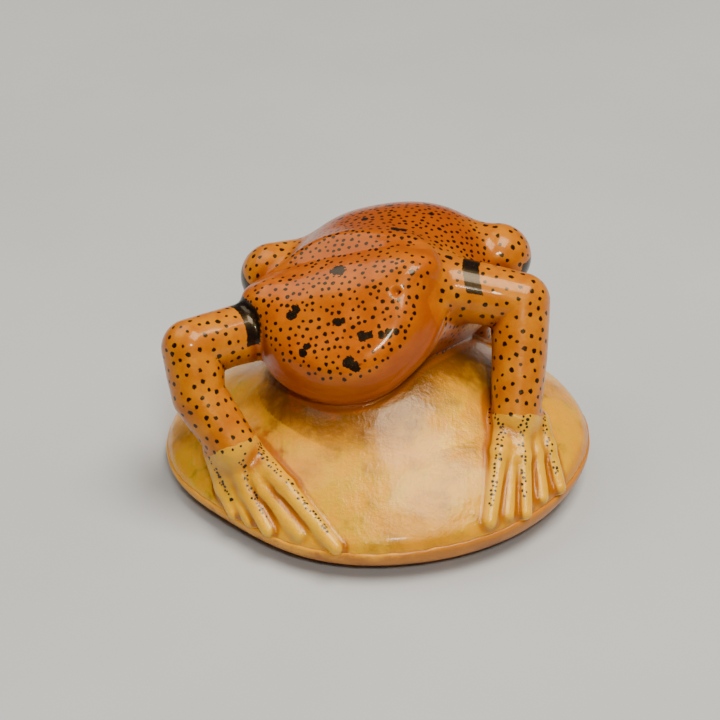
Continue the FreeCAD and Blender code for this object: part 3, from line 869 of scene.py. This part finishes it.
class Wire:
    # a socket that can be added, taken away, multiplied and compared
    def __init__(self, tree, socket):
        self.tree, self.socket = tree, socket

    def maths(self, operation, *values):
        return self.tree.add("ShaderNodeMath", {"operation": operation}, *values)

    def __add__(self, other):
        return self.maths("ADD", self, other)

    def __sub__(self, other):
        return self.maths("SUBTRACT", self, other)

    def __rsub__(self, other):
        return self.maths("SUBTRACT", other, self)

    def __mul__(self, other):
        return self.maths("MULTIPLY", self, other)

    def __neg__(self):
        return self.maths("MULTIPLY", self, -1.0)

    __radd__ = __add__
    __rmul__ = __mul__

    def most(self, other):
        return self.maths("MAXIMUM", self, other)

    def ramp(self, low, high):
        # nought below low, one above high, smooth between
        settings = {"interpolation_type": "SMOOTHSTEP", "clamp": True}
        return self.tree.add("ShaderNodeMapRange", settings, self, low, high, 0.0, 1.0)


class Tree:
    # a material's node tree, and the one way nodes are put into it
    def __init__(self, name):
        self.material = bpy.data.materials.new(name)
        self.material.use_nodes = True
        self.nodes, self.links = self.material.node_tree.nodes, self.material.node_tree.links
        self.nodes.clear()
        self.out = self.nodes.new("ShaderNodeOutputMaterial")

    def add(self, kind, settings, *values, output=0, **named):
        node = self.nodes.new(kind)
        for key, value in settings.items():
            setattr(node, key, value)
        given = list(zip(node.inputs, values)) + [(node.inputs[k], v) for k, v in named.items()]
        for socket, value in given:
            if isinstance(value, Wire):
                self.links.new(value.socket, socket)
            elif value is not None:
                socket.default_value = value
        return Wire(self, node.outputs[output])

    def kept(self, name):
        # a number kept at the points
        return self.add("ShaderNodeAttribute", {"attribute_name": name}, output="Fac")

    def keptVector(self, name):
        return self.add("ShaderNodeAttribute", {"attribute_name": name}, output="Vector")

    def place(self):
        # object coordinates in millimetres
        objectPlace = self.add("ShaderNodeTexCoord", {}, output="Object")
        return self.vector("SCALE", objectPlace, Scale=1000.0)

    def vector(self, operation, *values, output=0, **named):
        settings = {"operation": operation}
        return self.add("ShaderNodeVectorMath", settings, *values, output=output, **named)

    def noise(self, where, scale, detail=3.0, roughness=0.55, output=0):
        named = {"Vector": where, "Scale": scale, "Detail": detail, "Roughness": roughness}
        return self.add("ShaderNodeTexNoise", {}, output=output, **named)

    def mix(self, share, a, b, blend="MIX"):
        node = self.nodes.new("ShaderNodeMix")
        node.data_type, node.blend_type, node.clamp_factor = "RGBA", blend, True
        for socket, value in ((node.inputs[0], share), (node.inputs[6], a), (node.inputs[7], b)):
            if isinstance(value, Wire):
                self.links.new(value.socket, socket)
            elif isinstance(value, (int, float)):
                socket.default_value = value
            else:
                socket.default_value = (*value, 1.0)
        return Wire(self, node.outputs[2])

    def bump(self, height, strength, distance, normal=None):
        named = {"Strength": strength, "Distance": distance, "Height": height}
        if normal is not None:
            named["Normal"] = normal
        return self.add("ShaderNodeBump", {}, **named)

    def finish(self, constants, **varying):
        shader = self.nodes.new("ShaderNodeBsdfPrincipled")
        for key, value in constants.items():
            shader.inputs[key].default_value = value
        for key, value in varying.items():
            self.links.new(value.socket, shader.inputs[key.replace("_", " ")])
        self.links.new(shader.outputs[0], self.out.inputs[0])
        return self.material


finishes = {
    "cream": (0.84, 0.39, 0.0), "creamPale": (0.98, 0.55, 0.0), "honey": (0.72, 0.30, 0.0),
    "greyBrown": (0.27, 0.10, 0.03), "orange": (0.49, 0.115, 0.0), "orangeDeep": (0.30, 0.05, 0.0),
    "amber": (0.45, 0.125, 0.0), "amberPale": (0.56, 0.19, 0.0), "ink": (0.004, 0.003, 0.003),
    "inkBare": (0.006, 0.014, 0.018), "hollowShade": (0.25, 0.035, 0.0), "creaseDyeAndShade": (0.36, 0.10, 0.0),
    "bled": (0.40, 0.085, 0.0), "stainAndShadow": (0.17, 0.055, 0.003),
    "lacquer": {"IOR": 1.5, "Coat IOR": 1.42},
    "gloss": {
        "Coat Weight": 0.45, "Coat Roughness": 0.09,
        "Specular IOR Level": 0.3, "Specular Tint": (1.0, 0.7, 0.35, 1.0),
    },
    "glossBare": {
        "Coat Weight": 0.3, "Coat Roughness": 0.1,
        "Specular IOR Level": 0.5, "Specular Tint": (1.0, 0.85, 0.6, 1.0),
    },
    "broad": 0.12, "cloudy": 0.45, "fine": 2.6, "grit": 9.0,  # noises' scales, to the millimetre
    "bumpStrength": 0.5, "bumpDepth": 0.00025,
}


def nutAndDye(name, gloss):
    # bare nut under everything, dye over it where it was brushed, ink over that, lacquer last
    t = Tree(name)
    c = finishes
    where = t.place()
    dye, deep, hollow, wide = (t.kept(k) for k in ("dye", "deep", "hollow", "wide"))
    frog, trunkAway, mouth, band, side = (t.kept(k) for k in ("frog", "trunk", "mouth", "band", "side"))
    paw, rear = t.kept("paw"), t.kept("rear")
    broad = t.noise(where, c["broad"], 3.0)
    cloudy = t.noise(where, c["cloudy"], 4.0)
    fine = t.noise(where, c["fine"], 4.0, 0.65)
    grit = t.noise(where, c["grit"], 2.0)
    # bare nut: painted shade and staining near the frog and under the head, painted shade and pooled dye in its
    # hollows, a painted highlight on its crests
    bare = t.mix(cloudy.ramp(0.42, 0.62), c["cream"], c["creamPale"])
    bare = t.mix(broad.ramp(0.46, 0.62) * 0.85, bare, c["honey"])
    # painted shade with staining: the nut darker grey-brown towards the frog
    shade = (4.5 - frog + (cloudy - 0.5) * 9.0).ramp(0.0, 5.0)
    bare = t.mix(shade * 0.62, bare, c["greyBrown"])
    # painted shadow with staining: the nut dark brown under and beside the head and trunk
    chinShadowAndStain = (7.4 - trunkAway + (cloudy - 0.5) * 7.0).ramp(0.0, 5.2)
    bare = t.mix(chinShadowAndStain * 0.95, bare, c["stainAndShadow"])
    bare = t.mix(paw * 0.4, bare, c["creamPale"])
    # painted shade with pooled dye: the nut darker orange in its hollows
    bare = t.mix(hollow.ramp(0.03, 0.26) * 0.95, bare, c["creaseDyeAndShade"])
    # painted highlight: the nut paler on its crests and ridges
    bare = t.mix((-hollow).ramp(0.05, 0.24) * 0.9, bare, c["creamPale"])
    bare = t.mix(fine.ramp(0.66, 0.74) * 0.45, bare, c["greyBrown"])
    # dye that bled into the nut beside the frog
    aside = t.add("ShaderNodeSeparateXYZ", {}, where, output="X")
    bleed = (1.3 - aside * 0.11 - frog + (cloudy - 0.55) * 8.0).ramp(0.0, 1.8) * wide.ramp(0.0, 0.3)
    bare = t.mix(bleed * 0.85, bare, c["bled"])
    # dyed forms, with painted shade in their hollows, on the back and on the head's lower sides
    limbs = t.mix(cloudy.ramp(0.35, 0.7), c["amber"], c["amberPale"])
    # painted shade: the limbs darker in their hollows
    limbs = t.mix(wide.ramp(0.10, 0.6) * 0.85, limbs, c["hollowShade"])
    trunk = t.mix(cloudy.ramp(0.38, 0.66), c["orangeDeep"], c["orange"])
    trunk = t.mix(0.45, trunk, c["orange"])
    trunk = t.mix(broad.ramp(0.45, 0.65) * 0.5, trunk, c["amber"])
    # painted shade: the trunk darker in its hollows
    trunk = t.mix(wide.ramp(0.15, 0.7) * 0.7, trunk, c["hollowShade"])
    streaks = t.noise(t.vector("MULTIPLY", where, (1.0, 1.0, 5.0)), 0.8, 3.0)
    # painted shade: the back darker than the head
    trunk = t.mix(rear * 0.75, trunk, c["orangeDeep"])
    # painted shade: the head's lower sides darker, broken up by streaks
    trunk = t.mix(side * (0.45 + streaks * 0.4), trunk, c["orangeDeep"])
    dyed = t.mix(deep, limbs, trunk)
    dyed = t.mix(fine.ramp(0.66, 0.80) * 0.3, dyed, c["amberPale"])
    lip = 1 - (mouth + (fine - 0.5) * 0.2).ramp(0.05, 0.28)
    dyed = t.mix(lip * 0.6, dyed, c["amberPale"])
    brushed = (dye + (cloudy - 0.5) * 1.5 + (fine - 0.5) * 0.35).ramp(-0.06, 0.06)
    colour = t.mix(brushed, bare, dyed)
    # ink: round dots and ragged blotches round their centres, and the bands
    size = t.kept("inkSize")
    ragged = (t.noise(where, 1.9, 2.0) - 0.5) * size * 1.7
    away = t.vector("LENGTH", t.keptVector("inkOffset"), output="Value")
    dots = 1 - (away + ragged - size).ramp(-0.05, 0.05)
    stripes = (band + (fine - 0.5) * 0.4).ramp(-0.04, 0.06)
    patchy = 1 - grit.ramp(0.62, 0.75) * 0.4
    colour = t.mix(dots.most(stripes) * patchy, colour, t.mix(brushed, c["inkBare"], c["ink"]))
    # knife marks, grain and brush strokes
    stretched = t.vector("MULTIPLY", where, (1.0, 0.35, 1.0))
    named = {"Vector": stretched, "Scale": 0.55, "Distortion": 7.0, "Detail": 3.0}
    grooves = t.add("ShaderNodeTexWave", {"bands_direction": "X"}, **named)
    bareHeight = grooves * 0.03 + fine * 0.35 + cloudy * 1.3
    height = cloudy * 0.5 + fine * 0.2 + bareHeight * (1 - brushed) + grit * 0.05
    normal = t.bump(height, c["bumpStrength"], c["bumpDepth"])
    rough = 0.14 + fine * 0.14 + brushed * 0.1
    return t.finish({**c["lacquer"], **c[gloss]}, Base_Color=colour, Roughness=rough, Normal=normal)


skinFinish = {
    "brown": (0.24, 0.075, 0.008), "tan": (0.56, 0.20, 0.01),
    "dark": (0.06, 0.02, 0.008), "nut": (0.86, 0.38, 0.01),
    "bumpStrength": 0.5, "bumpDepth": 0.0002,
    "lacquer": {"IOR": 1.5, "Specular IOR Level": 0.15, "Coat Weight": 0.5, "Coat Roughness": 0.22},
}


def seedCoat(name):
    # brown skin, thin enough at the edge for the nut to glow through, with dark veins and blemishes
    t = Tree(name)
    c = skinFinish
    where = t.place()
    cloudy = t.noise(where, 0.3, 4.0)
    fine = t.noise(where, 2.0, 4.0, 0.65)
    height = t.add("ShaderNodeSeparateXYZ", {}, where, output="Z")
    colour = t.mix(cloudy.ramp(0.35, 0.65), c["brown"], c["tan"])
    aside = t.add("ShaderNodeSeparateXYZ", {}, where, output="X")
    worn = (height - aside * 0.09 + (cloudy - 0.5) * 3.5 + (fine - 0.5) * 1.5).ramp(3.1, 4.3)
    colour = t.mix((height + (cloudy - 0.5) * 3.0).ramp(1.0, 3.6) * 0.8, colour, c["tan"])
    colour = t.mix(worn * 0.9, colour, c["nut"])
    spots = fine.ramp(0.64, 0.72) * cloudy.ramp(0.45, 0.6)
    colour = t.mix(spots * 0.8, colour, c["dark"])
    normal = t.bump(cloudy * 0.6 + fine * 0.4, c["bumpStrength"], c["bumpDepth"])
    return t.finish(c["lacquer"], Base_Color=colour, Roughness=0.42 + fine * 0.2, Normal=normal)


slots = {
    "orange_dyed_nut": ("head", "lower_jaw", "torso", "left_eye", "right_eye"),
    "nut_flesh": ("nut_kernel",),
    "seed_skin": ("outer_skin",),
}
coats = {key: nutAndDye(key, "gloss") for key in ("orange_dyed_nut", "amber_dyed_nut")}
coats |= {key: nutAndDye(key, "glossBare") for key in ("bare_nut_toes", "nut_flesh")}
coats["seed_skin"] = seedCoat("seed_skin")


def slotOf(name):
    for key, members in slots.items():
        if name in members:
            return key
    return "bare_nut_toes" if name.endswith(("hand", "foot")) else "amber_dyed_nut"


for name, piece in pieces.items():
    piece.data.materials.append(coats[slotOf(name)])
    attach(piece, "root")
    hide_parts(name)
print("stage: finishes")

# ---- floor, light and camera

studio = {
    "target": Vector((-1.87, -1.4, 15.6)) * mm,
    "distance": 231.2 * mm,
    "elevation": 34.0,
    "lens": 102.05,
    "floor": 3.0,
    "floorColour": (0.48, 0.53, 0.63),
    "lamps": (  # name, place, size, power in watts, colour
        ("key", (0.12, -0.05, 0.46), (0.28, 0.22), 3.2, (1.0, 0.87, 0.66)),
        ("spark", (0.04, -0.32, 0.33), (0.06, 0.045), 0.75, (1.0, 0.90, 0.72)),
        ("back", (-0.22, 0.16, 0.40), (0.40, 0.30), 1.0, (1.0, 0.90, 0.72)),
    ),
    "sky": (1.0, 0.90, 0.74, 1.0), "skyStrength": 0.07,
}


def area(name, place, size, power, colour):
    light = bpy.data.lights.new(name, "AREA")
    light.shape, light.size, light.size_y = "RECTANGLE", size[0], size[1]
    light.energy, light.color = power, colour
    lamp = bpy.data.objects.new(name, light)
    bpy.context.scene.collection.objects.link(lamp)
    lamp.location = place
    lamp.rotation_euler = (studio["target"] - Vector(place)).to_track_quat("-Z", "Y").to_euler()
    return lamp


def makeStudio():
    half = studio["floor"] / 2
    corners = np.array([[-half, -half, 0], [half, -half, 0], [half, half, 0], [-half, half, 0]]) / mm
    floor = fillMesh("floor", corners, [np.array([[0, 1, 2, 3]])])
    t = Tree("floor")
    soft = t.noise(t.place(), 0.02, 4.0)
    base = studio["floorColour"]
    colour = t.mix(soft.ramp(0.3, 0.7), tuple(v * 0.96 for v in base), tuple(v * 1.03 for v in base))
    floor.data.materials.append(t.finish({"Roughness": 0.85}, Base_Color=colour))
    for lamp in studio["lamps"]:
        area(*lamp)
    world = bpy.data.worlds.new("studio")
    bpy.context.scene.world = world
    world.use_nodes = True
    sky = world.node_tree.nodes["Background"]
    sky.inputs["Color"].default_value = studio["sky"]
    sky.inputs["Strength"].default_value = studio["skyStrength"]
    camera = bpy.data.cameras.new("camera")
    camera.lens, camera.sensor_width, camera.clip_start = studio["lens"], 36.0, 0.01
    eye = bpy.data.objects.new("camera", camera)
    bpy.context.scene.collection.objects.link(eye)
    e = math.radians(studio["elevation"])
    back = Vector((0, -math.cos(e), math.sin(e)))
    eye.location = studio["target"] + back * studio["distance"]
    eye.rotation_euler = (-back).to_track_quat("-Z", "Y").to_euler()
    bpy.context.scene.camera = eye


makeStudio()
print("stage: studio")
